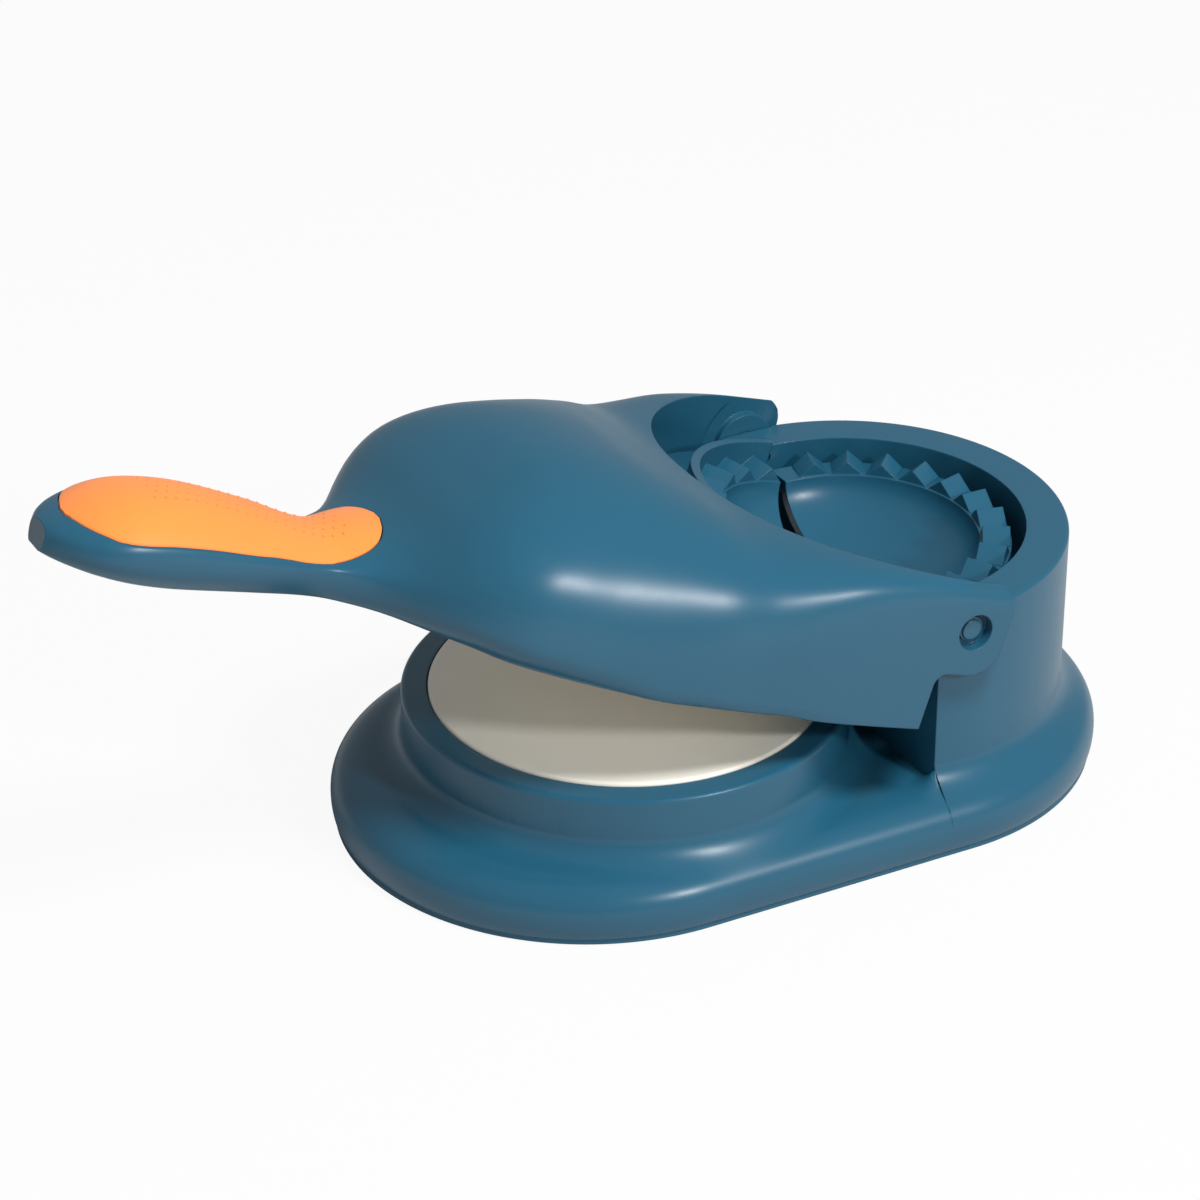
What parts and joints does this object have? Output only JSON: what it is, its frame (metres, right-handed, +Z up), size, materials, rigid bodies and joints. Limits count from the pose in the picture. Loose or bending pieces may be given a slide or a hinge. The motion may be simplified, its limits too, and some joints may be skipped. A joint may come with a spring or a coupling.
{
  "type": "empanada press",
  "caption": "Hinged hand press: round dough pad under a domed handle with a soft grip, and a round tower whose well holds the rear half of a toothed folding mould.",
  "frame": {"origin": "on the supporting surface, under the centre of the dough pad", "axes": "+X from the dough pad towards the tower and hinge, +Y to the left seen from behind the handle's tip, +Z up"},
  "size_m": [0.2602, 0.1186, 0.1082],
  "materials": {
    "blue_body": "satin moulded",
    "orange_grip": "soft matt",
    "cream_plate": "satin",
    "screw_steel": "zinc plated",
    "foot_rubber": "matt"
  },
  "bodies": {
    "base": {"base_shell": "blue_body", "base_cover": "blue_body", "base_screws": "screw_steel", "foot_pads": "foot_rubber", "press_plate_lower": "cream_plate", "lower_plate_screws": "screw_steel", "rear_mould": "blue_body", "rear_mould_screws": "screw_steel", "pivot_pin_near": "blue_body", "pivot_pin_far": "blue_body"},
    "handle": {"handle_shell": "blue_body", "handle_underside": "blue_body", "handle_screws": "screw_steel", "grip_insert": "orange_grip", "plate_carrier": "blue_body", "carrier_screws": "screw_steel", "press_plate_upper": "cream_plate", "upper_plate_screws": "screw_steel", "front_mould": "blue_body", "front_mould_screws": "screw_steel"}
  },
  "joints": [
    {"name": "handle_hinge", "type": "hinge", "parent": "base", "child": "handle", "pos_m": [0.0583, 0, 0.0544], "axis": [0, 1, 0], "range_deg": [-18.5, 161.5]}
  ]
}
